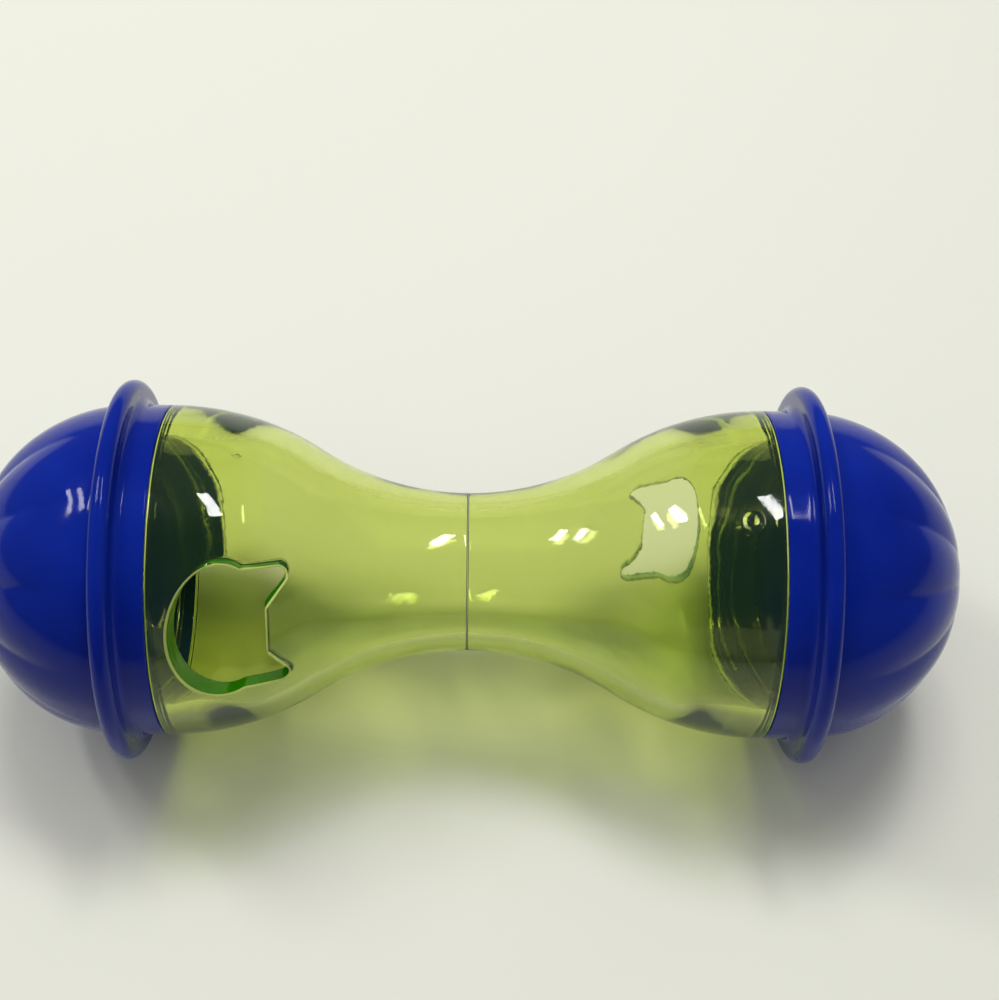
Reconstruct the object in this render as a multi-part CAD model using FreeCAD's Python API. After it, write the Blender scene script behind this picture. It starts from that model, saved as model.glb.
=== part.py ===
import FreeCAD, Part
import math
import os

# A treat feeder for cats, shaped like a dumbbell. Two clear flared halves meet
# at a narrow waist, and a screw cap with a fluted dome closes each outer end.
# Kibble falls out of a hole like a cat's head in the side of each half.
# Frame: X along the tube, +Z up, origin on the axis in the waist seam.
# Lengths are millimetres and angles are degrees.

# Tube half, from the waist seam to its mouth
HALF_LENGTH = 42.7
WAIST_RADIUS = 11.5
BELL_RADIUS = 23.9
FLARE_WALL = 2.5
NECK_LENGTH = 5.0
NECK_WALL = 1.6
NECK_CHAMFER = 0.4

# Cap, from the tube's shoulder outwards
SKIRT_WALL = 1.8
SKIRT_LENGTH = 4.3
THREAD_ROOM = 0.8
NECK_END_GAP = 0.4
FLANGE_RADIUS = 27.5
FLANGE_THICKNESS = 2.8
FLANGE_FILLET = 1.2

# Fluted dome of the cap, an oval centred just inside the flange's outer face
DOME_BASE_RADIUS = 23.8
DOME_HEIGHT = 22.1
DOME_SETBACK = 0.5
DOME_WALL = 2.6
FLUTE_COUNT = 12
FLUTE_DEPTH = 0.7
POLE_FLAT_RADIUS = 2.2
DOME_SECTIONS = 10

# Hole like a cat's head, with the chin towards the cap
CHIN_TO_SHOULDER = 2.7
HEAD_HEIGHT = 13.2
CHIN_REACH = 6.8
CROWN_HALF_WIDTH = 3.4
CROWN_CORNER_RADIUS = 0.8
EAR_HALF_WIDTH = 9.1
EAR_HEIGHT = 4.4
EAR_TIP_RADIUS = 1.25
CHEEK_BULGE = 0.9
HOLE_DRAFT = 6.0
HOLE_OVERSHOOT = 3.0

# How the feeder lies, and how far each cap is screwed round
HOLE_ELEVATION = 38.0
LEFT_CAP_TURN = 51.0
RIGHT_CAP_TURN = 51.5

# Sizes that follow from the ones above
SKIRT_BORE_RADIUS = BELL_RADIUS - SKIRT_WALL
NECK_RADIUS = SKIRT_BORE_RADIUS - THREAD_ROOM
BORE_RADIUS = NECK_RADIUS - NECK_WALL
MOUTH_X = HALF_LENGTH + NECK_LENGTH
LEDGE_X = MOUTH_X + NECK_END_GAP
FLANGE_X = HALF_LENGTH + SKIRT_LENGTH
DOME_FACE_X = FLANGE_X + FLANGE_THICKNESS
DOME_CENTRE_X = DOME_FACE_X - DOME_SETBACK

CENTRE = FreeCAD.Vector(0, 0, 0)
AXIS_X = FreeCAD.Vector(1, 0, 0)


def profile_point(x, radius):
    """A point of a profile that is turned about X, drawn on the underside."""
    return FreeCAD.Vector(x, 0, -radius)


def profile_path(points):
    """Straight edges of a profile through these (x, radius) points."""
    corners = [profile_point(*point) for point in points]
    return [Part.makeLine(start, end) for start, end in zip(corners, corners[1:])]


def profile_arc(centre, radius, first, last):
    """A round edge of a profile about an (x, radius) centre, from angle to angle."""
    points = []
    for angle in (first, (first + last) / 2, last):
        turn = math.radians(angle)
        x = centre[0] + radius * math.cos(turn)
        points.append(profile_point(x, centre[1] + radius * math.sin(turn)))
    return Part.Arc(*points).toShape()


def turned(edges):
    """The solid that a closed profile sweeps when it is turned about X."""
    wire = Part.Wire(edges)
    return Part.Face(wire).revolve(CENTRE, AXIS_X, 360)


def tube_body():
    """One flared half with its straight mouth and neck, pointing along +X."""
    rise = BELL_RADIUS - WAIST_RADIUS
    curve = (HALF_LENGTH ** 2 + rise ** 2) / (4 * rise)
    waist_centre = (0, WAIST_RADIUS + curve)
    bell_centre = (HALF_LENGTH, BELL_RADIUS - curve)
    swap = math.degrees(math.atan2(bell_centre[1] - waist_centre[1], HALF_LENGTH))
    inner_waist = curve + FLARE_WALL
    inner_bell = curve - FLARE_WALL
    lift = (BORE_RADIUS - bell_centre[1]) / inner_bell
    bore_angle = 180 - math.degrees(math.asin(lift))
    bore_x = HALF_LENGTH + inner_bell * math.cos(math.radians(bore_angle))
    mouth = [
        (HALF_LENGTH, BELL_RADIUS),
        (HALF_LENGTH, NECK_RADIUS),
        (MOUTH_X - NECK_CHAMFER, NECK_RADIUS),
        (MOUTH_X, NECK_RADIUS - NECK_CHAMFER),
        (MOUTH_X, BORE_RADIUS),
        (bore_x, BORE_RADIUS),
    ]
    edges = [profile_arc(waist_centre, curve, -90, swap)]
    edges.append(profile_arc(bell_centre, curve, swap + 180, 90))
    edges += profile_path(mouth)
    edges.append(profile_arc(bell_centre, inner_bell, bore_angle, swap + 180))
    edges.append(profile_arc(waist_centre, inner_waist, swap, -90))
    edges += profile_path([(0, WAIST_RADIUS - FLARE_WALL), (0, WAIST_RADIUS)])
    return turned(edges)


def rounded_corner(before, corner, after, radius):
    """Start, middle and end of the arc that rounds one corner of an outline."""
    back = (before - corner).normalize()
    ahead = (after - corner).normalize()
    half_angle = back.getAngle(ahead) / 2
    start = corner + back * (radius / math.tan(half_angle))
    end = corner + ahead * (radius / math.tan(half_angle))
    bisector = (back + ahead).normalize()
    middle = corner + bisector * (radius / math.sin(half_angle) - radius)
    return start, middle, end


def cat_head_wire(height):
    """Outline of the hole at one height over the axis, wider the higher it is."""
    grow = (height - BELL_RADIUS) * math.tan(math.radians(HOLE_DRAFT))
    chin_x = HALF_LENGTH - CHIN_TO_SHOULDER
    cheek_x = chin_x - CHIN_REACH
    crown_x = chin_x - HEAD_HEIGHT - grow
    ear_x = crown_x - EAR_HEIGHT
    ear_y = EAR_HALF_WIDTH + grow
    cheek_y = ear_y + CHEEK_BULGE
    reach = CHIN_REACH + grow
    meet_x = cheek_x - reach * math.sqrt(1 - (ear_y / cheek_y) ** 2)

    def at(x, y):
        return FreeCAD.Vector(x, y, height)

    corners = [at(crown_x, 0), at(crown_x, CROWN_HALF_WIDTH), at(ear_x, ear_y), at(meet_x, ear_y)]
    crown = rounded_corner(*corners[:3], CROWN_CORNER_RADIUS)
    ear = rounded_corner(*corners[1:], EAR_TIP_RADIUS)
    edges = []
    for side in (1, -1):
        crown_arc = [at(p.x, side * p.y) for p in crown]
        ear_arc = [at(p.x, side * p.y) for p in ear]
        edges.append(Part.Arc(*crown_arc).toShape())
        edges.append(Part.makeLine(crown_arc[2], ear_arc[0]))
        edges.append(Part.Arc(*ear_arc).toShape())
        edges.append(Part.makeLine(ear_arc[2], at(meet_x, side * ear_y)))
    edges.append(Part.makeLine(crown[0], at(crown_x, -crown[0].y)))
    oval = Part.Ellipse(at(cheek_x, cheek_y), at(cheek_x + reach, 0), at(cheek_x, 0))
    first = oval.parameter(at(meet_x, ear_y))
    last = oval.parameter(at(meet_x, -ear_y))
    edges.append(Part.ArcOfEllipse(oval, first, last).toShape())
    return Part.Wire(Part.__sortEdges__(edges))


def tube_half():
    """A flared half along +X, with its cat-head hole facing straight up."""
    inside = cat_head_wire(BORE_RADIUS / 2)
    outside = cat_head_wire(BELL_RADIUS + HOLE_OVERSHOOT)
    plug = Part.makeLoft([inside, outside], True, True)
    return tube_body().cut(plug)


def fluted_ring(x, crest, valley):
    """One section of the dome: round lobes that meet in sharp valleys."""
    pitch = 2 * math.pi / FLUTE_COUNT

    def at(radius, turn):
        return FreeCAD.Vector(x, radius * math.cos(turn), radius * math.sin(turn))

    edges = []
    for lobe in range(FLUTE_COUNT):
        start = at(valley, (lobe - 0.5) * pitch)
        top = at(crest, lobe * pitch)
        end = at(valley, (lobe + 0.5) * pitch)
        edges.append(Part.Arc(start, top, end).toShape())
    return Part.Wire(edges)


def fluted_dome():
    """The dome as a solid, with flutes that fade out towards its base and its pole."""
    root_depth = DOME_SETBACK - FLANGE_THICKNESS / 2
    first = math.asin(root_depth / DOME_HEIGHT)
    last = math.acos(POLE_FLAT_RADIUS / DOME_BASE_RADIUS)
    rings = []
    for step in range(DOME_SECTIONS + 1):
        rise = first + (last - first) * step / DOME_SECTIONS
        x = DOME_CENTRE_X + DOME_HEIGHT * math.sin(rise)
        crest = DOME_BASE_RADIUS * math.cos(rise)
        depth = FLUTE_DEPTH * math.sin(2 * rise) ** 2
        rings.append(fluted_ring(x, crest, crest - depth))
    return Part.makeLoft(rings, True, False)


def skirt_and_flange():
    """The plain round part of the cap, still solid inside."""
    rim = FLANGE_THICKNESS / 2
    rim_radius = FLANGE_RADIUS - rim
    edges = profile_path([(HALF_LENGTH, 0), (HALF_LENGTH, BELL_RADIUS)])
    edges += profile_path([(HALF_LENGTH, BELL_RADIUS), (FLANGE_X - FLANGE_FILLET, BELL_RADIUS)])
    fillet_centre = (FLANGE_X - FLANGE_FILLET, BELL_RADIUS + FLANGE_FILLET)
    edges.append(profile_arc(fillet_centre, FLANGE_FILLET, -90, 0))
    edges += profile_path([(FLANGE_X, BELL_RADIUS + FLANGE_FILLET), (FLANGE_X, rim_radius)])
    edges.append(profile_arc((FLANGE_X + rim, rim_radius), rim, 180, 0))
    edges += profile_path([(DOME_FACE_X, rim_radius), (DOME_FACE_X, 0), (HALF_LENGTH, 0)])
    return turned(edges)


def quarter_oval(x, height, radius):
    """A quarter of an oval centred on the axis at x, as a spline, which STEP keeps whole."""
    side = profile_point(x, radius)
    pole = profile_point(x + height, 0)
    longer, shorter = (side, pole) if radius > height else (pole, side)
    oval = Part.Ellipse(longer, shorter, profile_point(x, 0))
    return Part.ArcOfEllipse(oval, 0, math.pi / 2).toNurbs().toShape()


def cap_cavity():
    """The hollow of the cap: a bore for the neck, then a smooth oval inside."""
    hollow_radius = DOME_BASE_RADIUS - DOME_WALL
    hollow_height = DOME_HEIGHT - DOME_WALL
    outline = [
        (DOME_CENTRE_X + hollow_height, 0),
        (HALF_LENGTH, 0),
        (HALF_LENGTH, SKIRT_BORE_RADIUS),
        (LEDGE_X, SKIRT_BORE_RADIUS),
        (LEDGE_X, hollow_radius),
        (DOME_CENTRE_X, hollow_radius),
    ]
    edges = profile_path(outline)
    edges.append(quarter_oval(DOME_CENTRE_X, hollow_height, hollow_radius))
    return turned(edges)


def screw_cap():
    """A whole cap in one piece, pointing along +X."""
    return skirt_and_flange().fuse(fluted_dome()).cut(cap_cavity())


def turned_about_x(shape, angle):
    """A copy that is turned about the tube's axis."""
    copy = shape.copy()
    copy.rotate(CENTRE, AXIS_X, angle)
    return copy


def swapped_end_for_end(shape, elevation):
    """A copy at the other end, turned about a cross axis at right angles to elevation."""
    tilt = math.radians(elevation)
    cross_axis = FreeCAD.Vector(0, math.sin(tilt), math.cos(tilt))
    copy = shape.copy()
    copy.rotate(CENTRE, cross_axis, 180)
    return copy


def feeder():
    """Every piece of the feeder, by name, where it sits with the caps closed."""
    right_half = turned_about_x(tube_half(), -90 - HOLE_ELEVATION)
    cap = screw_cap()
    return {
        "left_half": swapped_end_for_end(right_half, HOLE_ELEVATION),
        "right_half": right_half,
        "left_cap": turned_about_x(swapped_end_for_end(cap, 0), LEFT_CAP_TURN),
        "right_cap": turned_about_x(cap, RIGHT_CAP_TURN),
    }


os.makedirs("parts", exist_ok=True)
for name, shape in feeder().items():
    shape.exportStep(f"parts/{name}.step")
    print(name, len(shape.Solids), shape.isValid(), round(shape.Volume, 1))
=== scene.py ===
import math

import bpy
import bmesh
import numpy as np
from mathutils import Matrix, Vector


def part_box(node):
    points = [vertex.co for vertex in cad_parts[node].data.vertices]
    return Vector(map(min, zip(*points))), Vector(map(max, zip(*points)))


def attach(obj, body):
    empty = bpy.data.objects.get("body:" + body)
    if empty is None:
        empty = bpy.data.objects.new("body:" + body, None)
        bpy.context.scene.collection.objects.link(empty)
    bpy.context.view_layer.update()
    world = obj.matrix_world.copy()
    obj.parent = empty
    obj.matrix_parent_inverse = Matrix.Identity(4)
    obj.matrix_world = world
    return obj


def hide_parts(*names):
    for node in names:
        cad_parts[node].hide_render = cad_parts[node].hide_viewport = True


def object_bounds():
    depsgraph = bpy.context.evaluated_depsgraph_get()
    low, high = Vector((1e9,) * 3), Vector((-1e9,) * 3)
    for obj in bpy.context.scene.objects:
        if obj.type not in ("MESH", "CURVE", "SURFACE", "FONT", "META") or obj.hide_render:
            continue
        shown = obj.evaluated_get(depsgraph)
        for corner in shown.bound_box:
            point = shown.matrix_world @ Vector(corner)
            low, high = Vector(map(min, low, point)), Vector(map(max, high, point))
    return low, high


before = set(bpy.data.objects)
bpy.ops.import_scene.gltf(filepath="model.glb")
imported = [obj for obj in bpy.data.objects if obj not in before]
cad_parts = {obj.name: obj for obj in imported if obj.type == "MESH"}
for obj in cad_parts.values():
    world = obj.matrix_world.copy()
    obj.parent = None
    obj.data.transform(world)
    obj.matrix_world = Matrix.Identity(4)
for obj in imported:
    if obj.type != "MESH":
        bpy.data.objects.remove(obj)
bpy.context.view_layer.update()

# The looks of a treat feeder for cats: two clear yellow-green halves that meet
# at a narrow waist, and a glossy blue screw cap with a fluted dome on each end.
# Every shape here is in millimetres and degrees until it becomes a mesh.

MM = 0.001
FULL_TURN = 2 * math.pi

# Tube half, from the waist seam to its mouth
NECK_LENGTH = 5.0
WAIST_RADIUS = 11.5
BELL_RADIUS = 23.9
FLARE_WALL = 2.5
NECK_RADIUS = 21.3
BORE_RADIUS = 19.7
BORE_EASING = 0.6
SEAM_GAP = 0.03
SEAM_ROUNDING = 0.12
SHOULDER_ROUNDING = 0.3
LIP_ROUNDING = 0.4

# Cap, from the tube's shoulder outwards
SKIRT_GAP = 0.1
SKIRT_BORE_RADIUS = 22.1
SKIRT_ROUNDING = 0.3
NECK_END_GAP = 0.4
FLANGE_THICKNESS = 2.8
FLANGE_FILLET = 1.2
SKIRT_LENGTH = 4.3
DOME_BASE_RADIUS = 23.8
DOME_HEIGHT = 22.1
DOME_SETBACK = 0.5
DOME_WALL = 2.6
DOME_FILLET = 0.4
FLUTE_COUNT = 12
FLUTE_DEPTH = 0.7
POLE_FLAT_RADIUS = 2.2

# Hole like a cat's head, with the chin towards the cap
CHIN_TO_SHOULDER = 2.7
HEAD_HEIGHT = 13.2
CHIN_REACH = 6.8
CROWN_HALF_WIDTH = 3.4
CROWN_CORNER_RADIUS = 0.8
EAR_HALF_WIDTH = 9.1
EAR_HEIGHT = 4.4
EAR_TIP_RADIUS = 1.25
CHEEK_BULGE = 0.9
HOLE_DRAFT = 6.0
HOLE_OUTER_ROUNDING = 0.3
HOLE_INNER_ROUNDING = 0.25

# Screw thread on the neck and inside the skirt
THREAD_PITCH = 1.6
THREAD_HEIGHT = 0.5
THREAD_BASE = 1.0
THREAD_CREST = 0.35
THREAD_TURNS = 1.3
THREAD_START = 0.9
THREAD_RUN_OUT = 25.0

# Round mark that the mould's gate leaves on each half, as rings of a radius and
# a height over the wall: a nub in the middle, a hollow and a low rim
GATE_X = 38.2
GATE_ANGLE = 228.5
GATE_NUB_HEIGHT = 0.306
GATE_RINGS = ((0.2, 0.288), (0.4, 0.108), (0.56, -0.18), (1.2325, -0.18), (1.3775, 0.09), (1.595, 0.0))

# How the feeder lies, and how far each cap is screwed round
HOLE_ELEVATION = 38.0
LEFT_CAP_TURN = 51.0
RIGHT_CAP_TURN = 51.5

# Points round the axis, and rows and steps along the profiles
TUBE_COLUMNS = 240
CAP_COLUMNS = 288
EDGE_STEPS = 4
SMALL_EDGE_STEPS = 3
FLARE_ROWS = 40
THREAD_ROWS = 40
BORE_ROWS = 8
POLE_ROWS = 4
DOME_ROWS = 60
HOLLOW_POINTS = 40
FLANGE_FACE_ROWS = 8
FLANGE_RIM_STEPS = 20
FLANGE_FILLET_STEPS = 8
SKIRT_ROWS = 6

# Points round the hole, passes that fit its edge to a wall, and the windows in
# the wall's grid for the hole and the gate mark
CROWN_STEPS = 8
EAR_STEPS = 16
CHIN_POINTS = 90
HOLE_OUTER_STEPS = 6
HOLE_INNER_STEPS = 4
HOLE_PASSES = 4
WINDOW_COLUMNS = 48
WINDOW_ROWS = 56
WINDOW_SEAM_X = 19.5
WINDOW_MOUTH_X = 41.8
WINDOW_RINGS = 12
GATE_WINDOW_COLUMNS = 6
GATE_WINDOW_ROWS = 10

# Clear plastic: the tint that each surface gives, the tint of its depth, and
# the dark line at the waist seam, with its reach as a share of the rounding
CLEAR_IOR = 1.5
CLEAR_TINT = (0.94, 0.975, 0.69, 1)
DEPTH_TINT = (0.86, 0.925, 0.05, 1)
DEPTH_DENSITY = 155.0
WELD_COLOUR = (0.05, 0.07, 0.02, 1)
WELD_REACH = 0.45

# Haze of the clear plastic by kind of surface, as a colour and its share: the wall's own haze, then
# painted light on the hole: a painted dark line of shade on its inner edge, a painted green glow on its
# sides for light that the wall carries out there, and a painted pale highlight on its outer edge
WALL_HAZE = 0.0
LIP_PAINTED_SHADE = 0.25
CUT_PAINTED_GLOW = 0.5
RIM_PAINTED_HIGHLIGHT = 1.0
HAZE_AND_EDGE_PAINT_COLOURS = {
    WALL_HAZE: (0.16, 0.42, 0.30, 0.03),
    LIP_PAINTED_SHADE: (0.03, 0.05, 0.01, 0.50),
    CUT_PAINTED_GLOW: (0.05, 0.46, 0.0, 0.32),
    RIM_PAINTED_HIGHLIGHT: (0.70, 0.80, 0.22, 0.60),
}

# Tint of the lamps' light through the clear plastic: darker where the wall
# slants to the light, and a little uneven, as ripples in the wall make it
SLANT_SHARE = 0.5
RIPPLE_SCALE = 75.0
RIPPLE_DETAIL = 1.0
RIPPLE_DISTORTION = 1.2
LAMP_TINTS = {0.42: (0.97, 0.985, 0.86, 1), 0.9: (0.46, 0.50, 0.30, 1)}

# Blue plastic: its two shades, and the depth that light reaches in it, in metres
BLUE_IOR = 1.45
BLUE_SHINE = 0.2
BLUE_SHADES = {0.35: (0.0025, 0.014, 0.24, 1), 0.65: (0.0045, 0.022, 0.31, 1)}
BLUE_CLOUD_SCALE = 45.0
BLUE_CLOUD_DETAIL = 3.0
BLUE_CLOUDINESS = 0.15
BLUE_REACH = (0.0006, 0.0008, 0.002)

# Bumps by noise scale, noise detail, strength and height in metres: waves, then grain
CLEAR_BUMPS = ((110.0, 1.0, 0.35, 0.0004), (1600.0, 2.0, 0.12, 0.00004))
BLUE_BUMPS = ((90.0, 2.0, 0.25, 0.0003), (900.0, 2.0, 0.10, 0.00004))

# Scuffs by noise scale, the span of noise that they take and its roughness
CLEAR_SCUFFS = (240.0, (0.45, 0.75), (0.015, 0.09))
BLUE_SCUFFS = (300.0, (0.4, 0.75), (0.05, 0.16))
SCUFF_DETAIL = 6.0

# Floor and light, in metres and watts
FLOOR_REACH = 3.0
FLOOR_FADE = (0.22, 0.75)
FLOOR_COLOUR = (0.88, 0.88, 0.77, 1)
FLOOR_ROUGHNESS = 0.55
BACKDROP_COLOUR = (0.90, 0.90, 0.86, 1)
BACKDROP_TOP = 0.3
KEY_PLACE = (0.02, 0.27, 0.70)
KEY_SIZE = (0.25, 0.18)
KEY_POWER = 1.6
FILL_PLACE = (0.0, 0.05, 1.1)
FILL_SIZE = (1.9, 1.7)
FILL_POWER = 6.9
TUBE_LAMP_PLACES = ((-0.36, 0.24, 0.60), (-0.50, 0.25, 0.60), (0.10, 0.19, 0.60))
TUBE_LAMP_SIZE = (0.05, 0.20)
TUBE_LAMP_TURN = 20.0
TUBE_LAMP_POWER = 0.74
ROOM_COLOUR = (0.95, 0.97, 1.0, 1)
ROOM_LIGHT = 0.13
PHOTOGRAPHER_LIGHT = 0.02
PHOTOGRAPHER_SPREAD = (25.0, 50.0)

# The photograph's view. Pixels are in its own frame of 999 by 1000.
PHOTO_WIDTH = 999
FOCAL_PIXELS = 1700
MIDDLE_PIXEL = (499.5, 500.0)
ORIGIN_PIXEL = (467.5, 571.5)
VIEW_ELEVATION = 62.0
VIEW_DISTANCE = 0.249
VIEW_ROLL = 0.5
SENSOR_WIDTH = 36.0

# Sizes that follow from the frame and from the ones above
mouth_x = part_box("right_half")[1].x / MM
flange_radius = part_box("right_cap")[1].z / MM
floor_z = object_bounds()[0][2]
shoulder_x = mouth_x - NECK_LENGTH
ledge_x = mouth_x + NECK_END_GAP
flange_x = shoulder_x + SKIRT_LENGTH
dome_face_x = flange_x + FLANGE_THICKNESS
dome_centre_x = dome_face_x - DOME_SETBACK
flare_rise = BELL_RADIUS - WAIST_RADIUS
flare_curve = (shoulder_x ** 2 + flare_rise ** 2) / (4 * flare_rise)


class Skin:
    """The points and faces of one piece, gathered part by part."""

    def __init__(self):
        self.points = []
        self.faces = []
        self.count = 0
        self.marks = []

    def add(self, points):
        """Takes points in and returns their numbers, in the same arrangement."""
        numbers = self.count + np.arange(points[..., 0].size).reshape(points.shape[:-1])
        self.points.append(points.reshape(-1, 3))
        self.count += numbers.size
        return numbers

    def quads(self, *corners):
        """One face for each place in four like arrays of point numbers."""
        self.faces += np.stack([corner.ravel() for corner in corners], axis=1).tolist()

    def bridge(self, first, second):
        """Joins two closed loops of as many points."""
        self.quads(first, second, np.roll(second, -1), np.roll(first, -1))

    def bridge_all(self, loops, haze=WALL_HAZE):
        """Joins each loop to the next one, as one kind of surface."""
        start = len(self.faces)
        for first, second in zip(loops, loops[1:]):
            self.bridge(first, second)
        self.marks.append((haze, range(start, len(self.faces))))

    def fan(self, loop, centre):
        """Closes a loop on to one point."""
        ahead = np.roll(loop, -1)
        self.faces += [[int(a), int(b), int(centre)] for a, b in zip(loop, ahead)]

    def piece(self, name, placing):
        """The finished object, in metres, turned into place by a matrix."""
        points = np.concatenate(self.points) @ np.array(placing.to_3x3()).T * MM
        mesh = bpy.data.meshes.new(name)
        mesh.from_pydata(points.tolist(), [], self.faces)
        haze = mesh.attributes.new("haze", "FLOAT", "FACE")
        for kind, faces in self.marks:
            for face in faces:
                haze.data[face].value = kind
        work = bmesh.new()
        work.from_mesh(mesh)
        bmesh.ops.recalc_face_normals(work, faces=work.faces)
        work.to_mesh(mesh)
        work.free()
        mesh.shade_smooth()
        thing = bpy.data.objects.new(name, mesh)
        bpy.context.scene.collection.objects.link(thing)
        return thing


def round_x(x, radius, angle):
    """Points at distances along the axis, radii and angles in radians about it."""
    x, radius, angle = np.broadcast_arrays(x, radius, angle)
    return np.stack([x, radius * np.cos(angle), radius * np.sin(angle)], axis=-1)


def arc(centre, radius, first, last, steps):
    """(x, radius) points along a round stretch of a profile."""
    turn = np.radians(np.linspace(first, last, steps + 1))
    return np.stack([centre[0] + radius * np.cos(turn), centre[1] + radius * np.sin(turn)], axis=1)


def straight(start, end, steps):
    """(x, radius) points along a straight stretch, without its two ends."""
    share = np.linspace(0, 1, steps + 1)[1:-1, None]
    return np.array(start) * (1 - share) + np.array(end) * share


def smooth_step(value):
    """0 up to 0, 1 from 1, and an even curve between them."""
    value = np.clip(value, 0, 1)
    return value * value * (3 - 2 * value)


def flare(x, offset):
    """Radius of the flared wall at x, with the wall's outside moved in by offset."""
    swing = (shoulder_x / 2) / flare_curve
    swap_x = (flare_curve + offset) * swing
    waist = flare_curve + offset
    bell = flare_curve - offset
    from_waist = np.minimum(np.abs(x), swap_x)
    to_shoulder = np.clip(shoulder_x - x, 0, shoulder_x - swap_x)
    near = WAIST_RADIUS + flare_curve - np.sqrt(waist ** 2 - from_waist ** 2)
    far = BELL_RADIUS - flare_curve + np.sqrt(bell ** 2 - to_shoulder ** 2)
    return np.where(np.abs(x) < swap_x, near, far)


def outside(x):
    """Outer radius of a tube half."""
    return flare(x, 0)


def inside(x):
    """Inner radius of a tube half, whose flare eases into a straight bore near the mouth."""
    wide = flare(x, FLARE_WALL)
    return (wide + BORE_RADIUS - np.hypot(wide - BORE_RADIUS, BORE_EASING)) / 2


def thread(x, angle, start_x):
    """Height of a right-hand thread's ridge over the wall that carries it."""
    turn = angle / FULL_TURN
    lead = (x - start_x) / THREAD_PITCH - turn
    whole = np.round(lead)
    run = whole + turn
    across = np.abs(lead - whole) * THREAD_PITCH * 2
    flank = smooth_step((THREAD_BASE - across) / (THREAD_BASE - THREAD_CREST))
    fade = THREAD_RUN_OUT / 360
    ends = smooth_step(run / fade) * smooth_step((THREAD_TURNS - run) / fade)
    return THREAD_HEIGHT * flank * ends


def corner_arc(before, corner, after, radius, steps):
    """Points that round one corner of a flat outline."""
    before, corner, after = (np.array(p, float) for p in (before, corner, after))
    back = (before - corner) / np.linalg.norm(before - corner)
    ahead = (after - corner) / np.linalg.norm(after - corner)
    half_angle = math.acos(float(back @ ahead)) / 2
    bisector = (back + ahead) / np.linalg.norm(back + ahead)
    centre = corner + bisector * radius / math.sin(half_angle)
    start = corner + back * radius / math.tan(half_angle) - centre
    end = corner + ahead * radius / math.tan(half_angle) - centre
    sweep = math.pi - 2 * half_angle
    share = np.linspace(0, 1, steps + 1)[:, None]
    mix = np.sin((1 - share) * sweep) * start + np.sin(share * sweep) * end
    return centre + mix / math.sin(sweep)


def spaced(path, count):
    """The path's points, spread evenly over count stretches."""
    steps = np.linalg.norm(np.diff(path, axis=0), axis=1)
    along = np.concatenate([[0], np.cumsum(steps)])
    wanted = np.linspace(0, along[-1], count + 1)
    return np.stack([np.interp(wanted, along, path[:, axis]) for axis in (0, 1)], axis=1)


def cat_head(grow):
    """Outline of the hole as (x, across) points, from one ear over the crown and round."""
    chin_x = shoulder_x - CHIN_TO_SHOULDER
    cheek_x = chin_x - CHIN_REACH
    crown_x = chin_x - HEAD_HEIGHT - grow
    ear = (crown_x - EAR_HEIGHT, EAR_HALF_WIDTH + grow)
    cheek = ear[1] + CHEEK_BULGE
    reach = CHIN_REACH + grow
    meet_x = cheek_x - reach * math.sqrt(1 - (ear[1] / cheek) ** 2)
    crown_corner = (crown_x, CROWN_HALF_WIDTH)
    crown = corner_arc((crown_x, 0), crown_corner, ear, CROWN_CORNER_RADIUS, CROWN_STEPS)
    tip = corner_arc(crown_corner, ear, (meet_x, ear[1]), EAR_TIP_RADIUS, EAR_STEPS)
    turn = np.linspace(math.acos((meet_x - cheek_x) / reach), 0, CHIN_POINTS)
    chin = np.stack([cheek_x + reach * np.cos(turn), cheek * np.sin(turn)], axis=1)
    middle = len(tip) // 2
    top = np.concatenate([[(crown_x, 0)], crown, tip[:middle + 1]])
    side = np.concatenate([tip[middle:], chin])
    top = spaced(top, WINDOW_COLUMNS // 2)
    side = spaced(side, WINDOW_ROWS + WINDOW_COLUMNS // 2)
    flip = np.array([1, -1])
    return np.concatenate([(top * flip)[::-1], top[1:], side[1:], (side * flip)[::-1][1:-1]])


def height_over(radius_at, flat):
    """How high a round wall lies over the axis at (x, across) points."""
    return np.sqrt(radius_at(flat[:, 0]) ** 2 - flat[:, 1] ** 2)


def hole_edge(radius_at):
    """The sharp edge where the drafted sides of the hole meet a round wall."""
    small = cat_head(0.0)
    growth = cat_head(1.0) - small
    flat = small
    for _ in range(HOLE_PASSES):
        rise = height_over(radius_at, flat) - BELL_RADIUS
        flat = small + growth * (rise * math.tan(math.radians(HOLE_DRAFT)))[:, None]
    return flat


def outward(flat):
    """Unit normals of a closed (x, across) loop, away from its middle."""
    along = np.roll(flat, -1, axis=0) - np.roll(flat, 1, axis=0)
    normal = np.stack([along[:, 1], -along[:, 0]], axis=1)
    normal /= np.linalg.norm(normal, axis=1)[:, None]
    away = np.sum(normal * (flat - flat.mean(axis=0)))
    return normal if away > 0 else -normal


def raised(flat, height):
    """(x, across) points at heights over the axis, with the hole facing +Z."""
    return np.column_stack([flat, height])


def eased_edge(edge, wall_point, radius_at, rounding, steps):
    """Where the hole's rounded edge starts on the wall, and loops from there to its side."""
    start = edge + outward(edge) * rounding
    first = raised(start, height_over(radius_at, start))
    corner = raised(edge, height_over(radius_at, edge))
    down = wall_point - corner
    last = corner + down / np.linalg.norm(down, axis=1)[:, None] * rounding
    share = np.linspace(0, 1, steps + 1)
    return start, [(1 - t) ** 2 * first + 2 * t * (1 - t) * corner + t * t * last for t in share]


def stretch(first, last):
    """Whole numbers from first towards last, without last."""
    return np.arange(first, last, 1 if last > first else -1)


def window_loop(numbers, rows, columns):
    """Point numbers round a window in a grid, in the order of the cat's head."""
    near = numbers[rows[0], stretch(*columns)]
    up = numbers[stretch(*rows), columns[1]]
    far = numbers[rows[1], stretch(*columns[::-1])]
    down = numbers[stretch(*rows[::-1]), columns[0]]
    return np.concatenate([near, up, far, down])


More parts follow.
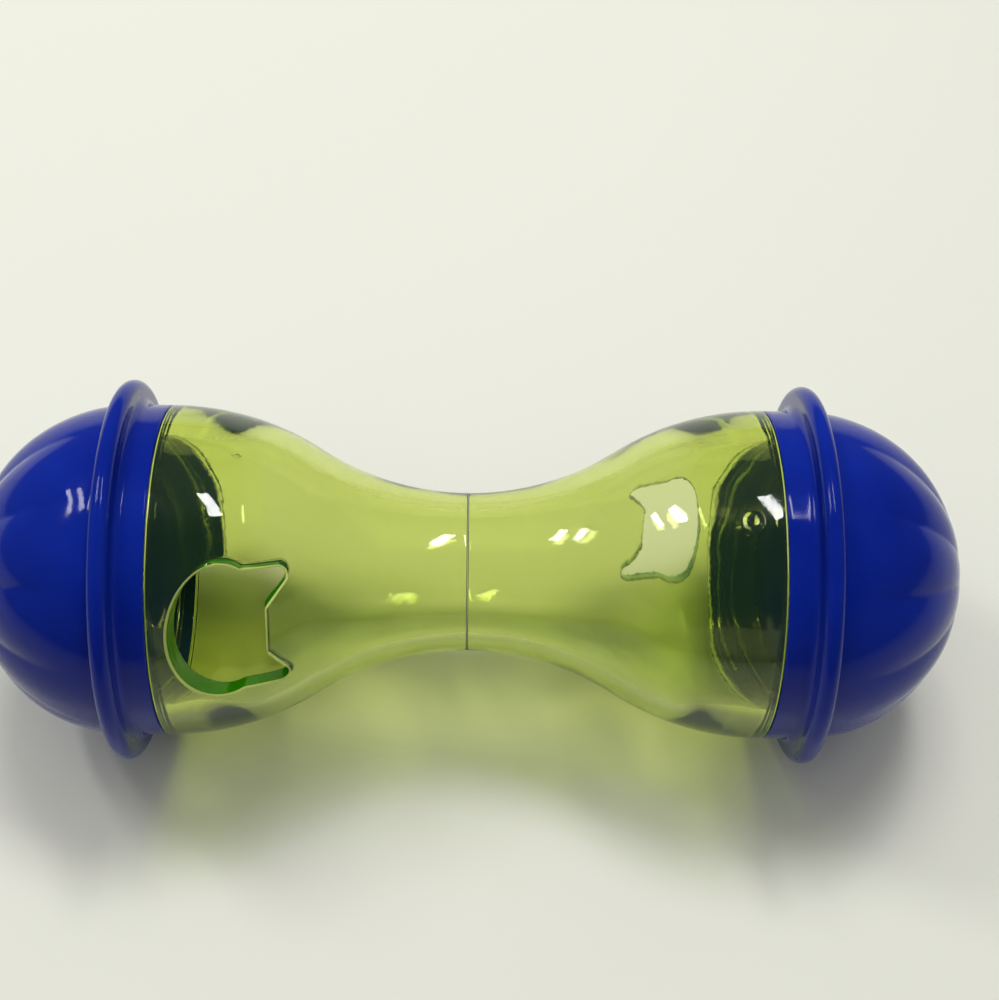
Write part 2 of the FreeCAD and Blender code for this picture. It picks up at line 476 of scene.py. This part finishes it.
def window_places(stations, angles, rows, columns):
    """(x, angle) of each point round a window, in the order of window_loop."""
    grid = np.arange(len(stations) * len(angles)).reshape(len(stations), len(angles))
    loop = window_loop(grid, rows, columns)
    return np.stack([stations[loop // len(angles)], angles[loop % len(angles)]], axis=1)


def spread_rings(skin, radius_at, places, start, loop, first_loop):
    """Fills the strip of round wall between a window's edge and a loop inside it."""
    rings = [first_loop]
    for ring in range(1, WINDOW_RINGS):
        share = ring / WINDOW_RINGS
        spot = start * (1 - share) + places * share
        rings.append(skin.add(round_x(spot[:, 0], radius_at(spot[:, 0]), spot[:, 1])))
    skin.bridge_all(rings + [loop])


def on_wall(flat, radius_at):
    """(x, angle) of (x, across) points on a round wall, with the hole facing +Z."""
    return np.stack([flat[:, 0], math.pi / 2 - np.arcsin(flat[:, 1] / radius_at(flat[:, 0]))], axis=1)


def cut_cat_hole(skin, outer_loop, inner_loop, places):
    """The hole's eased edges and drafted sides, and the wall around them."""
    outer_edge = hole_edge(outside)
    inner_edge = hole_edge(inside)
    outer_corner = raised(outer_edge, height_over(outside, outer_edge))
    inner_corner = raised(inner_edge, height_over(inside, inner_edge))
    outer = eased_edge(outer_edge, inner_corner, outside, HOLE_OUTER_ROUNDING, HOLE_OUTER_STEPS)
    inner = eased_edge(inner_edge, outer_corner, inside, HOLE_INNER_ROUNDING, HOLE_INNER_STEPS)
    outer_start, outer_loops = outer
    inner_start, inner_loops = inner
    rim = [skin.add(loop) for loop in outer_loops]
    lip = [skin.add(loop) for loop in inner_loops[::-1]]
    # Painted light on the hole: a pale painted highlight on the rim, a painted green glow on the cut
    # sides, and a painted dark line of shade on the lip.
    skin.bridge_all(rim, RIM_PAINTED_HIGHLIGHT)
    skin.bridge_all([rim[-1], lip[0]], CUT_PAINTED_GLOW)
    skin.bridge_all(lip, LIP_PAINTED_SHADE)
    spread_rings(skin, outside, places, on_wall(outer_start, outside), outer_loop, rim[0])
    spread_rings(skin, inside, places, on_wall(inner_start, inside), inner_loop, lip[-1])


def gate_mark(skin, loop, places):
    """A shallow round step with a nub in its middle, where the plastic came in."""
    centre = np.array([GATE_X, math.radians(GATE_ANGLE)])
    scale = np.array([1, 1 / outside(np.array(GATE_X))])
    way = (places - centre) / scale
    way /= np.linalg.norm(way, axis=1)[:, None]
    rings = []
    for reach, lift in GATE_RINGS:
        spot = centre + way * reach * scale
        rings.append(skin.add(round_x(spot[:, 0], outside(spot[:, 0]) + lift, spot[:, 1])))
    top = outside(centre[:1]) + GATE_NUB_HEIGHT
    skin.fan(rings[0], skin.add(round_x(centre[:1], top, centre[1:]))[0])
    skin.bridge_all(rings)
    spread_rings(skin, outside, places, spot, loop, rings[-1])


def half_profile():
    """A tube half's closed profile, and the rows at which its flared walls start."""
    seam_turn = SEAM_GAP + SEAM_ROUNDING
    flare_x = np.concatenate([
        np.linspace(seam_turn, WINDOW_SEAM_X, FLARE_ROWS)[1:-1],
        np.linspace(WINDOW_SEAM_X, WINDOW_MOUTH_X, WINDOW_ROWS + 1),
        [shoulder_x - SHOULDER_ROUNDING * 2],
    ])
    shoulder = (shoulder_x - SHOULDER_ROUNDING, BELL_RADIUS - SHOULDER_ROUNDING)
    neck_start = shoulder_x + SHOULDER_ROUNDING
    neck_end = mouth_x - LIP_ROUNDING
    seam_outside = (seam_turn, WAIST_RADIUS - SEAM_ROUNDING)
    seam_inside = (seam_turn, WAIST_RADIUS - FLARE_WALL + SEAM_ROUNDING)
    parts = [
        arc(seam_outside, SEAM_ROUNDING, 180, 90, SMALL_EDGE_STEPS),
        np.stack([flare_x, outside(flare_x)], axis=1),
        arc(shoulder, SHOULDER_ROUNDING, 90, 0, EDGE_STEPS),
        arc((neck_start, NECK_RADIUS + SHOULDER_ROUNDING), SHOULDER_ROUNDING, 180, 270, SMALL_EDGE_STEPS),
        straight((neck_start, NECK_RADIUS), (neck_end, NECK_RADIUS), THREAD_ROWS),
        arc((neck_end, NECK_RADIUS - LIP_ROUNDING), LIP_ROUNDING, 90, 0, EDGE_STEPS),
        arc((neck_end, BORE_RADIUS + LIP_ROUNDING), LIP_ROUNDING, 0, -90, EDGE_STEPS),
        straight((neck_end, BORE_RADIUS), (shoulder_x, BORE_RADIUS), BORE_ROWS),
        np.stack([flare_x, inside(flare_x)], axis=1)[::-1],
        arc(seam_inside, SEAM_ROUNDING, 270, 180, SMALL_EDGE_STEPS),
    ]
    profile = np.concatenate(parts)
    before_window = np.searchsorted(flare_x, WINDOW_SEAM_X)
    outer_row = len(parts[0]) + before_window
    inner_row = len(profile) - len(parts[-1]) - 1 - before_window
    return profile, outer_row, inner_row


def tube_half(name, placing):
    """A flared half along +X with its cat-head hole facing +Z, then turned into place."""
    profile, outer_row, inner_row = half_profile()
    angles = np.arange(TUBE_COLUMNS) * FULL_TURN / TUBE_COLUMNS
    x = profile[:, 0][:, None]
    radius = profile[:, 1][:, None]
    threaded = (x > shoulder_x + SHOULDER_ROUNDING) & (radius > NECK_RADIUS - LIP_ROUNDING / 2)
    ridge = thread(x, angles[None, :], shoulder_x + THREAD_START)
    skin = Skin()
    numbers = skin.add(round_x(x, radius + ridge * threaded, angles[None, :]))

    middle = TUBE_COLUMNS // 4
    columns = (middle + WINDOW_COLUMNS // 2, middle - WINDOW_COLUMNS // 2)
    outer_rows = (outer_row, outer_row + WINDOW_ROWS)
    inner_rows = (inner_row, inner_row - WINDOW_ROWS)
    gate_column = round(GATE_ANGLE / 360 * TUBE_COLUMNS)
    gate_row = int(np.argmin(np.abs(profile[outer_row:outer_rows[1], 0] - GATE_X))) + outer_row
    gate_rows = (gate_row - GATE_WINDOW_ROWS // 2, gate_row + GATE_WINDOW_ROWS // 2)
    gate_columns = (gate_column - GATE_WINDOW_COLUMNS // 2, gate_column + GATE_WINDOW_COLUMNS // 2)

    kept = np.ones(numbers.shape, bool)
    for rows, sides in ((outer_rows, columns), (inner_rows, columns), (gate_rows, gate_columns)):
        kept[min(rows):max(rows), min(sides):max(sides)] = False
    down = np.roll(numbers, -1, axis=0)
    across = np.roll(numbers, -1, axis=1)
    both = np.roll(down, -1, axis=1)
    skin.quads(numbers[kept], down[kept], both[kept], across[kept])

    places = window_places(profile[:, 0], angles, outer_rows, columns)
    outer_loop = window_loop(numbers, outer_rows, columns)
    inner_loop = window_loop(numbers, inner_rows, columns)
    cut_cat_hole(skin, outer_loop, inner_loop, places)
    gate_places = window_places(profile[:, 0], angles, gate_rows, gate_columns)
    gate_mark(skin, window_loop(numbers, gate_rows, gate_columns), gate_places)
    return skin.piece(name, placing)


def flutes(angle):
    """Share of the flute depth at an angle, from 0 on a lobe's crest to 1 in a valley."""
    pitch = FULL_TURN / FLUTE_COUNT
    across = (angle + pitch / 2) % pitch - pitch / 2
    return (across / (pitch / 2)) ** 2


def oval(height, radius, rise):
    """(x, radius) points of an oval about the dome's middle, at angles over its base."""
    return np.stack([dome_centre_x + height * np.sin(rise), radius * np.cos(rise)], axis=1)


def cap_profile():
    """A cap's profile from pole to hollow, and how deep its flutes are at each point."""
    first = math.asin((DOME_SETBACK + DOME_FILLET) / DOME_HEIGHT)
    last = math.acos(POLE_FLAT_RADIUS / DOME_BASE_RADIUS)
    rise = np.linspace(last, first, DOME_ROWS + 1)
    dome = oval(DOME_HEIGHT, DOME_BASE_RADIUS, rise)
    pole = straight((dome[0, 0], 0), dome[0], POLE_ROWS)
    foot = dome[-1] + (0, DOME_FILLET)
    rim = FLANGE_THICKNESS / 2
    rim_radius = flange_radius - rim
    fillet = (flange_x - FLANGE_FILLET, BELL_RADIUS + FLANGE_FILLET)
    skirt_turn = shoulder_x + SKIRT_GAP + SKIRT_ROUNDING
    inner_turn = ledge_x - SKIRT_ROUNDING
    bore_edge = SKIRT_BORE_RADIUS + SKIRT_ROUNDING
    ledge_edge = SKIRT_BORE_RADIUS - SKIRT_ROUNDING
    hollow = DOME_BASE_RADIUS - DOME_WALL
    parts = [
        pole,
        dome,
        arc(foot, DOME_FILLET, 270, 180, EDGE_STEPS)[1:],
        straight((dome_face_x, foot[1]), (dome_face_x, rim_radius), FLANGE_FACE_ROWS),
        arc((flange_x + rim, rim_radius), rim, 0, 180, FLANGE_RIM_STEPS),
        arc(fillet, FLANGE_FILLET, 0, -90, FLANGE_FILLET_STEPS),
        straight((fillet[0], BELL_RADIUS), (skirt_turn, BELL_RADIUS), SKIRT_ROWS),
        arc((skirt_turn, BELL_RADIUS - SKIRT_ROUNDING), SKIRT_ROUNDING, 90, 180, EDGE_STEPS),
        arc((skirt_turn, bore_edge), SKIRT_ROUNDING, 180, 270, SMALL_EDGE_STEPS),
        straight((skirt_turn, SKIRT_BORE_RADIUS), (inner_turn, SKIRT_BORE_RADIUS), THREAD_ROWS),
        arc((inner_turn, ledge_edge), SKIRT_ROUNDING, 90, 0, SMALL_EDGE_STEPS),
        [(ledge_x, hollow + SKIRT_ROUNDING)],
        oval(DOME_HEIGHT - DOME_WALL, hollow, np.linspace(0, last, HOLLOW_POINTS)),
    ]
    profile = np.concatenate(parts)
    depth = np.zeros(len(profile))
    depth[len(pole):len(pole) + len(dome)] = FLUTE_DEPTH * np.sin(2 * rise) ** 2
    return profile, depth


def screw_cap(name, placing):
    """A whole cap along +X, then turned into place."""
    profile, flute_depth = cap_profile()
    angles = np.arange(CAP_COLUMNS) * FULL_TURN / CAP_COLUMNS
    x = profile[:, 0][:, None]
    radius = profile[:, 1][:, None]
    depth = flute_depth[:, None] * flutes(angles)[None, :]
    threaded = (x < ledge_x - SKIRT_ROUNDING) & (radius < SKIRT_BORE_RADIUS + SKIRT_ROUNDING / 2)
    threaded &= radius > SKIRT_BORE_RADIUS - SKIRT_ROUNDING / 2
    ridge = thread(x, angles[None, :], shoulder_x + THREAD_START + THREAD_PITCH / 2)
    skin = Skin()
    numbers = skin.add(round_x(x, radius - depth - ridge * threaded, angles[None, :]))
    skin.bridge_all(numbers)
    hollow_pole = dome_centre_x + DOME_HEIGHT - DOME_WALL
    poles = skin.add(np.array([[profile[0, 0], 0, 0], [hollow_pole, 0, 0]]))
    skin.fan(numbers[0], poles[0])
    skin.fan(numbers[-1][::-1], poles[1])
    return skin.piece(name, placing)


def turn_x(angle):
    """A turn about the tube's axis."""
    return Matrix.Rotation(math.radians(angle), 4, "X")


def end_for_end(elevation):
    """Half a turn about a cross axis at right angles to a direction at elevation."""
    tilt = math.radians(elevation)
    return Matrix.Rotation(math.pi, 4, Vector((0, math.sin(tilt), math.cos(tilt))))


def node_maker(tree):
    """A short way to add a node with its settings, its numbered inputs and its named ones."""

    def make(kind, settings=(), numbered=(), **named):
        node = tree.nodes.new("ShaderNode" + kind)
        for key, value in dict(settings).items():
            setattr(node, key, value)
        inputs = dict(numbered)
        inputs.update({key.replace("_", " "): value for key, value in named.items()})
        for key, value in inputs.items():
            if isinstance(value, bpy.types.NodeSocket):
                tree.links.new(value, node.inputs[key])
            else:
                node.inputs[key].default_value = value
        return node

    return make


def new_material(name):
    """An empty node material, and its maker of nodes."""
    material = bpy.data.materials.new(name)
    material.use_nodes = True
    material.node_tree.nodes.clear()
    return material, node_maker(material.node_tree)


def calculate(make, operation, *values):
    """The result of a sum on sockets and numbers."""
    return make("Math", {"operation": operation}, dict(enumerate(values))).outputs["Value"]


def rescaled(make, value, before, after, curve="LINEAR"):
    """A value carried from one span of numbers to another."""
    span = {"From_Min": before[0], "From_Max": before[1], "To_Min": after[0], "To_Max": after[1]}
    return make("MapRange", {"interpolation_type": curve}, Value=value, **span).outputs["Result"]


def ramp(make, share, colours):
    """A ramp through colours at their places from 0 to 1."""
    node = make("ValToRGB", Fac=share)
    elements = node.color_ramp.elements
    places = list(colours)
    elements[0].position = places[0]
    elements[0].color = colours[places[0]]
    elements[1].position = places[-1]
    elements[1].color = colours[places[-1]]
    for place in places[1:-1]:
        elements.new(place).color = colours[place]
    return node


def mixed(make, share, first, second):
    """A mix of two shaders, with a share of the second."""
    return make("MixShader", (), {1: first.outputs[0], 2: second.outputs[0]}, Fac=share)


def bumps(make, place, layers):
    """The direction of a surface with layers of bumps, each over the one before."""
    under = {}
    for scale, detail, strength, height in layers:
        noise = make("TexNoise", Vector=place, Scale=scale, Detail=detail)
        bump = make("Bump", Height=noise.outputs["Fac"], Strength=strength, Distance=height, **under)
        under = {"Normal": bump.outputs["Normal"]}
    return under["Normal"]


def scuffs(make, place, scale, span, roughness):
    """A roughness that rises in scuffed patches."""
    noise = make("TexNoise", Vector=place, Scale=scale, Detail=SCUFF_DETAIL)
    return rescaled(make, noise.outputs["Fac"], span, roughness)


def hazed_with_painted_edges(make, shell):
    """The clear shell with the haze of its wall, and the painted shade, glow and highlight on the hole's
    edges.
    """
    kind = make("Attribute", {"attribute_type": "GEOMETRY", "attribute_name": "haze"})
    haze_and_paint_ramp = ramp(make, kind.outputs["Fac"], HAZE_AND_EDGE_PAINT_COLOURS)
    haze = make("BsdfDiffuse", Color=haze_and_paint_ramp.outputs["Color"])
    return mixed(make, haze_and_paint_ramp.outputs["Alpha"], shell, haze)


def welded(make, place, shell):
    """The clear shell with a dark line on the rounded edges of the waist seam."""
    weld = make("BsdfDiffuse", Color=WELD_COLOUR)
    along = make("SeparateXYZ", Vector=place).outputs["X"]
    from_seam = calculate(make, "ABSOLUTE", along)
    middle = (SEAM_GAP + SEAM_ROUNDING / 2) * MM
    on_seam = calculate(make, "COMPARE", from_seam, middle, SEAM_ROUNDING * WELD_REACH * MM)
    return mixed(make, on_seam, shell, weld)


def open_to_lamps(make, place, shell):
    """The clear shell, which only tints the light of the lamps where they shine through it."""
    slant = make("LayerWeight", Blend=0.5).outputs["Facing"]
    ripple = make(
        "TexNoise",
        Vector=place,
        Scale=RIPPLE_SCALE,
        Detail=RIPPLE_DETAIL,
        Distortion=RIPPLE_DISTORTION,
    )
    uneven = calculate(make, "MULTIPLY_ADD", slant, SLANT_SHARE, ripple.outputs["Fac"])
    shade = ramp(make, uneven, LAMP_TINTS)
    let_through = make("BsdfTransparent", Color=shade.outputs["Color"])
    path = make("LightPath")
    lamp_ray = calculate(make, "MAXIMUM", path.outputs["Is Shadow Ray"], path.outputs["Is Diffuse Ray"])
    return mixed(make, lamp_ray, shell, let_through)


def clear_plastic():
    """Clear yellow-green plastic: tinted through its depth, glossy, very slightly wavy, with painted
    light on the hole's edges.
    """
    material, make = new_material("clear_yellow_green")
    place = make("TexCoord").outputs["Object"]
    shell = make(
        "BsdfPrincipled",
        Base_Color=CLEAR_TINT,
        Roughness=scuffs(make, place, *CLEAR_SCUFFS),
        IOR=CLEAR_IOR,
        Transmission_Weight=1.0,
        Normal=bumps(make, place, CLEAR_BUMPS),
    )
    surface = open_to_lamps(make, place, welded(make, place, hazed_with_painted_edges(make, shell)))
    depth = make("VolumeAbsorption", Color=DEPTH_TINT, Density=DEPTH_DENSITY)
    make("OutputMaterial", Surface=surface.outputs["Shader"], Volume=depth.outputs["Volume"])
    return material


def blue_plastic():
    """Deep blue moulded plastic: glossy, a little cloudy in its depth, scuffed in places."""
    material, make = new_material("glossy_blue")
    place = make("TexCoord").outputs["Object"]
    cloud = make("TexNoise", Vector=place, Scale=BLUE_CLOUD_SCALE, Detail=BLUE_CLOUD_DETAIL)
    shell = make(
        "BsdfPrincipled",
        Base_Color=ramp(make, cloud.outputs["Fac"], BLUE_SHADES).outputs["Color"],
        Roughness=scuffs(make, place, *BLUE_SCUFFS),
        IOR=BLUE_IOR,
        Specular_IOR_Level=BLUE_SHINE,
        Subsurface_Weight=BLUE_CLOUDINESS,
        Subsurface_Radius=BLUE_REACH,
        Subsurface_Scale=1.0,
        Normal=bumps(make, place, BLUE_BUMPS),
    )
    make("OutputMaterial", Surface=shell.outputs["BSDF"])
    return material


def floor_material():
    """A plain pale floor, which fades into the backdrop far from the feeder."""
    material, make = new_material("pale_floor")
    ground = make("BsdfPrincipled", Base_Color=FLOOR_COLOUR, Roughness=FLOOR_ROUGHNESS)
    backdrop = make("Emission", Color=BACKDROP_COLOUR, Strength=1.0)
    place = make("TexCoord").outputs["Object"]
    away = make("VectorMath", {"operation": "LENGTH"}, Vector=place).outputs["Value"]
    far = rescaled(make, away, FLOOR_FADE, (0, 1), "SMOOTHSTEP")
    path = make("LightPath")
    seen = calculate(make, "MAXIMUM", path.outputs["Is Camera Ray"], path.outputs["Is Transmission Ray"])
    surface = mixed(make, calculate(make, "MULTIPLY", seen, far), ground, backdrop)
    make("OutputMaterial", Surface=surface.outputs["Shader"])
    return material


def dress(thing, material, body, node):
    """Gives a piece its material and its body, and hides the solid that it stands for."""
    thing.data.materials.append(material)
    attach(thing, body)
    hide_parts(node)


def feeder():
    """The four pieces, each in its place on the frame."""
    clear = clear_plastic()
    blue = blue_plastic()
    right_half_turn = turn_x(-90 - HOLE_ELEVATION)
    left_half_turn = end_for_end(HOLE_ELEVATION) @ right_half_turn
    left_cap_turn = turn_x(LEFT_CAP_TURN) @ end_for_end(0)
    right_cap_turn = turn_x(RIGHT_CAP_TURN)
    dress(tube_half("left_tube_half", left_half_turn), clear, "tube", "left_half")
    dress(tube_half("right_tube_half", right_half_turn), clear, "tube", "right_half")
    dress(screw_cap("left_screw_cap", left_cap_turn), blue, "left_cap", "left_cap")
    dress(screw_cap("right_screw_cap", right_cap_turn), blue, "right_cap", "right_cap")


def pale_floor():
    """A floor that the rims of the two flanges rest on."""
    mesh = bpy.data.meshes.new("floor")
    reach = FLOOR_REACH
    corners = [(-reach, -reach, 0), (reach, -reach, 0), (reach, reach, 0), (-reach, reach, 0)]
    mesh.from_pydata(corners, [], [(0, 1, 2, 3)])
    mesh.materials.append(floor_material())
    floor = bpy.data.objects.new("floor", mesh)
    floor.location.z = floor_z
    bpy.context.scene.collection.objects.link(floor)


def lamp(name, place, size, power):
    """A rectangular lamp, which faces straight down."""
    light = bpy.data.lights.new(name, "AREA")
    light.shape = "RECTANGLE"
    light.size, light.size_y = size
    light.energy = power
    lamp_object = bpy.data.objects.new(name, light)
    lamp_object.location = place
    bpy.context.scene.collection.objects.link(lamp_object)
    return lamp_object


def soft_lamp(name, place, size, power):
    """A lamp that faces the feeder and that nothing mirrors."""
    panel = lamp(name, place, size, power)
    panel.rotation_euler = Vector(place).to_track_quat("Z", "Y").to_euler()
    panel.visible_glossy = False
    panel.visible_transmission = False


def lamps():
    """A small key lamp, a wide fill, and the tube lamps that the plastic mirrors."""
    soft_lamp("key", KEY_PLACE, KEY_SIZE, KEY_POWER)
    soft_lamp("fill", FILL_PLACE, FILL_SIZE, FILL_POWER)
    for number, place in enumerate(TUBE_LAMP_PLACES):
        tube_lamp = lamp(f"tube_lamp_{number}", place, TUBE_LAMP_SIZE, TUBE_LAMP_POWER)
        tube_lamp.rotation_euler.z = math.radians(TUBE_LAMP_TURN)


def surroundings():
    """A dim room, darker still where the photographer stands, and a pale backdrop."""
    world = bpy.data.worlds.new("pale_room")
    world.use_nodes = True
    world.node_tree.nodes.clear()
    make = node_maker(world.node_tree)
    rise = math.radians(VIEW_ELEVATION)
    photographer = (0, -math.cos(rise), math.sin(rise))
    direction = make("TexCoord").outputs["Generated"]
    towards = make("VectorMath", {"operation": "DOT_PRODUCT"}, {0: direction, 1: photographer})
    near, far = (math.cos(math.radians(angle)) for angle in PHOTOGRAPHER_SPREAD)
    glow = (ROOM_LIGHT, PHOTOGRAPHER_LIGHT)
    light = rescaled(make, towards.outputs["Value"], (far, near), glow, "SMOOTHSTEP")
    room = make("Background", Color=ROOM_COLOUR, Strength=light)
    backdrop = make("Background", Color=BACKDROP_COLOUR, Strength=1.0)
    path = make("LightPath")
    height = make("SeparateXYZ", Vector=direction).outputs["Z"]
    low = calculate(make, "LESS_THAN", height, BACKDROP_TOP)
    behind = calculate(make, "MULTIPLY", low, path.outputs["Is Transmission Ray"])
    seen = calculate(make, "MAXIMUM", behind, path.outputs["Is Camera Ray"])
    make("OutputWorld", Surface=mixed(make, seen, room, backdrop).outputs["Shader"])
    bpy.context.scene.world = world


def photo_camera():
    """A camera that sees the feeder's origin where the photograph shows it."""
    across = (ORIGIN_PIXEL[0] - MIDDLE_PIXEL[0]) / FOCAL_PIXELS
    down = (ORIGIN_PIXEL[1] - MIDDLE_PIXEL[1]) / FOCAL_PIXELS
    roll = math.radians(VIEW_ROLL)
    rise = math.radians(VIEW_ELEVATION)
    sight_seen = Vector((across, -down, -1)).normalized()
    tube_seen = Vector((math.cos(roll), -math.sin(roll), 0))
    tube_seen = (tube_seen - tube_seen.dot(sight_seen) * sight_seen).normalized()
    sight = Vector((0, math.cos(rise), -math.sin(rise)))
    tube = Vector((1, 0, 0))
    seen = Matrix((tube_seen, sight_seen, tube_seen.cross(sight_seen))).transposed()
    real = Matrix((tube, sight, tube.cross(sight))).transposed()
    camera = bpy.data.cameras.new("photo_camera")
    camera.sensor_fit = "HORIZONTAL"
    camera.sensor_width = SENSOR_WIDTH
    camera.lens = FOCAL_PIXELS / PHOTO_WIDTH * SENSOR_WIDTH
    holder = bpy.data.objects.new("photo_camera", camera)
    turn = real @ seen.inverted()
    holder.matrix_world = Matrix.Translation(-sight * VIEW_DISTANCE) @ turn.to_4x4()
    bpy.context.scene.collection.objects.link(holder)
    bpy.context.scene.camera = holder


feeder()
pale_floor()
lamps()
surroundings()
photo_camera()
bpy.context.scene.view_settings.view_transform = "Standard"

bpy.context.view_layer.update()
